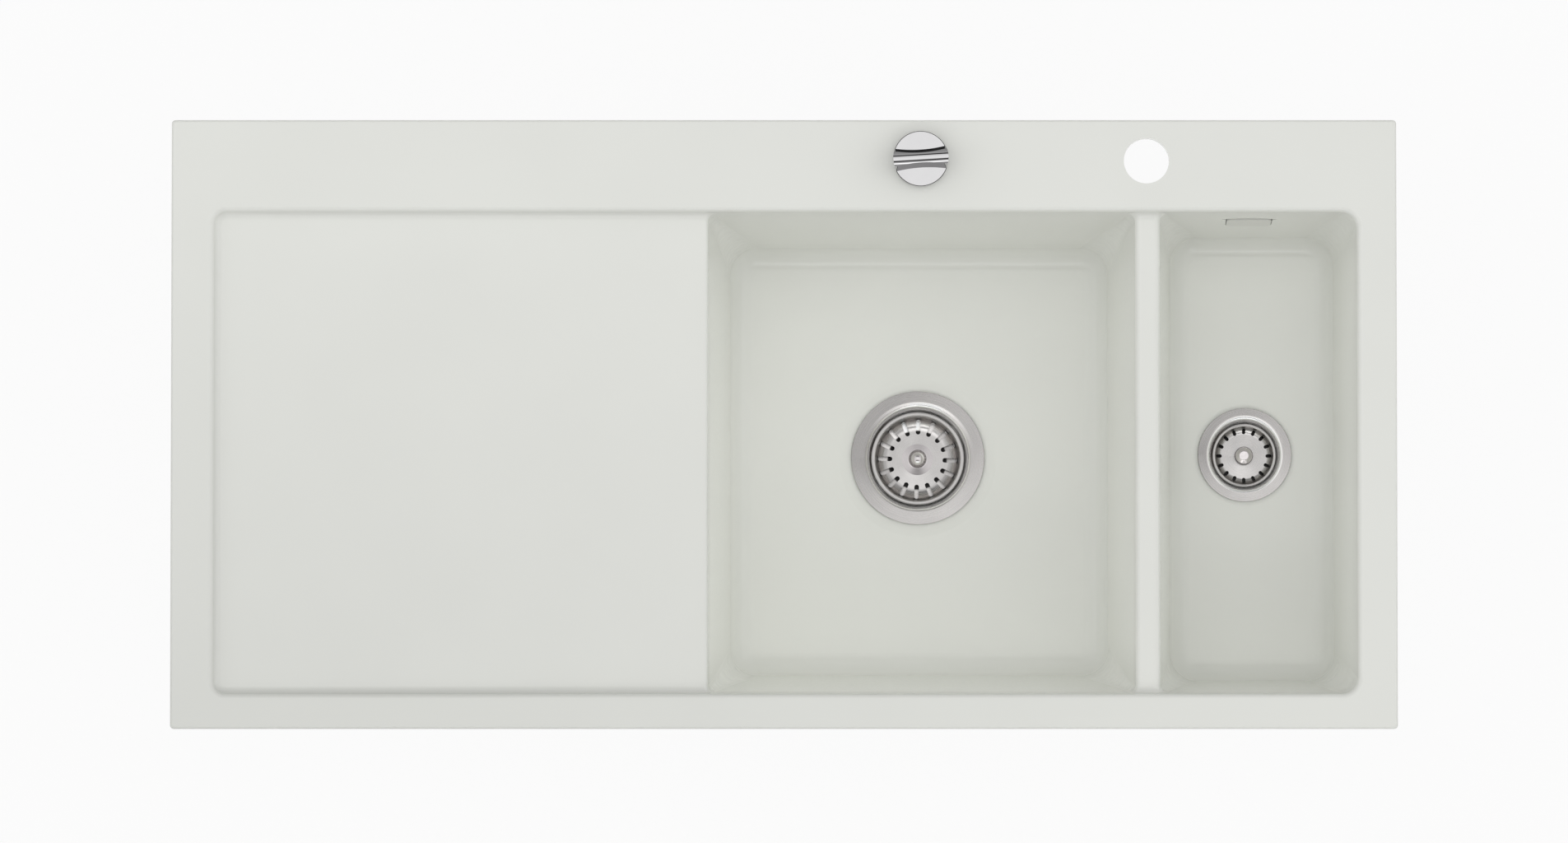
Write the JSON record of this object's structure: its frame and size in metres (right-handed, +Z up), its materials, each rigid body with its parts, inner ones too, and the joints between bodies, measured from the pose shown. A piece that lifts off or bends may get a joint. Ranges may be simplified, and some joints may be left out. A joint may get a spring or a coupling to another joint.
{
  "type": "kitchen sink with drainboard",
  "caption": "Ceramic inset kitchen sink with drainboard, main and small bowl, basket wastes, a rotary pop-up control, overflow and joined waste pipes.",
  "frame": {"origin": "centre of the rim outline in the plane of the worktop that the rim rests on", "axes": "+X right as the user stands at the sink, with the drainboard at -X; +Y to the back, where the tap ledge is; +Z up"},
  "size_m": [1, 0.497, 0.412],
  "materials": {
    "ceramic": "off-white satin glaze",
    "steel": "brushed stainless steel",
    "polished_steel": "polished stainless steel",
    "chrome": "polished chrome",
    "brass": "turned brass",
    "zinc": "zinc-plated steel",
    "white_plastic": "white polypropylene",
    "grey_plastic": "grey polypropylene",
    "black_plastic": "black nylon",
    "black_rubber": "black rubber",
    "sheath": "black PVC",
    "hose": "pale grey flexible plastic"
  },
  "bodies": {
    "sink": {"sink_body": "ceramic", "main_flange_gasket": "black_rubber", "small_flange_gasket": "black_rubber", "main_body_gasket": "black_rubber", "small_body_gasket": "black_rubber", "main_strainer_cup": "steel", "small_strainer_cup": "steel", "main_outlet_body": "white_plastic", "small_outlet_body": "white_plastic", "main_fixing_screw": "brass", "small_fixing_screw": "brass", "rocker_pivot": "steel", "cable_gland_lower": "white_plastic", "bowden_sheath": "sheath", "knob_gasket": "black_rubber", "knob_base_ring": "chrome", "knob_bush": "brass", "knob_washer": "zinc", "knob_lock_nut": "brass", "cable_box": "black_plastic", "cable_box_lid": "black_plastic", "cable_box_screws": "zinc", "cable_gland_upper": "black_plastic", "overflow_frame": "white_plastic", "overflow_screws": "zinc", "overflow_gasket": "black_rubber", "overflow_elbow": "white_plastic", "overflow_hose": "hose", "hose_clips": "zinc", "outlet_tee": "white_plastic", "drop_elbow": "white_plastic", "connecting_pipe": "white_plastic", "main_slip_nut": "white_plastic", "main_slip_seal": "black_rubber", "small_slip_nut": "white_plastic", "small_slip_seal": "black_rubber", "tee_slip_nut": "white_plastic", "tee_slip_seal": "black_rubber", "elbow_slip_nut": "white_plastic", "elbow_slip_seal": "black_rubber"},
    "knob": {"control_knob": "chrome", "knob_grub_screw": "zinc", "knob_spindle": "brass", "crank_disc": "black_plastic"},
    "upper_rod": {"cable_rod_upper": "zinc"},
    "lower_rod": {"cable_rod_lower": "zinc"},
    "rocker": {"rocker_lever": "black_plastic"},
    "pin": {"lift_pin": "steel"},
    "main_basket": {"main_basket": "steel", "main_basket_knob": "polished_steel", "main_plug_carrier": "black_plastic", "main_plug_seal": "black_rubber"},
    "small_basket": {"small_basket": "steel", "small_basket_knob": "polished_steel", "small_plug_carrier": "black_plastic", "small_plug_seal": "black_rubber"},
    "cover": {"overflow_cover": "steel"}
  },
  "joints": [
    {"name": "knob_turn", "type": "hinge", "parent": "sink", "child": "knob", "pos_m": [0.1115, 0.216, 0.012], "axis": [0, 0, -1], "range_deg": [0, 90]},
    {"name": "upper_rod_slide", "type": "slide", "parent": "sink", "child": "upper_rod", "axis": [1, 0, 0], "range_m": [0, 0.00375]},
    {"name": "lower_rod_slide", "type": "slide", "parent": "sink", "child": "lower_rod", "axis": [0, 1, 0], "range_m": [0, 0.00375]},
    {"name": "rocker_tilt", "type": "hinge", "parent": "sink", "child": "rocker", "pos_m": [0.1115, 0.001, -0.261], "axis": [-1, 0, 0], "range_deg": [0, 27]},
    {"name": "pin_lift", "type": "slide", "parent": "sink", "child": "pin", "axis": [0, 0, 1], "range_m": [0, 0.00935]},
    {"name": "main_basket_lift", "type": "slide", "parent": "pin", "child": "main_basket", "axis": [0, 0, 1], "range_m": [0, 0.06]},
    {"name": "small_basket_lift", "type": "slide", "parent": "sink", "child": "small_basket", "axis": [0, 0, 1], "range_m": [0, 0.05]},
    {"name": "cover_pull", "type": "slide", "parent": "sink", "child": "cover", "axis": [0, -0.9936, 0.1132], "range_m": [0, 0.03]}
  ],
  "couplings": [
    {"joint": "upper_rod_slide", "follows": "knob_turn", "m_per_rad": 0.0023778},
    {"joint": "lower_rod_slide", "follows": "knob_turn", "m_per_rad": 0.0023778},
    {"joint": "rocker_tilt", "follows": "knob_turn", "ratio": 0.3},
    {"joint": "pin_lift", "follows": "knob_turn", "m_per_rad": 0.0059446}
  ]
}
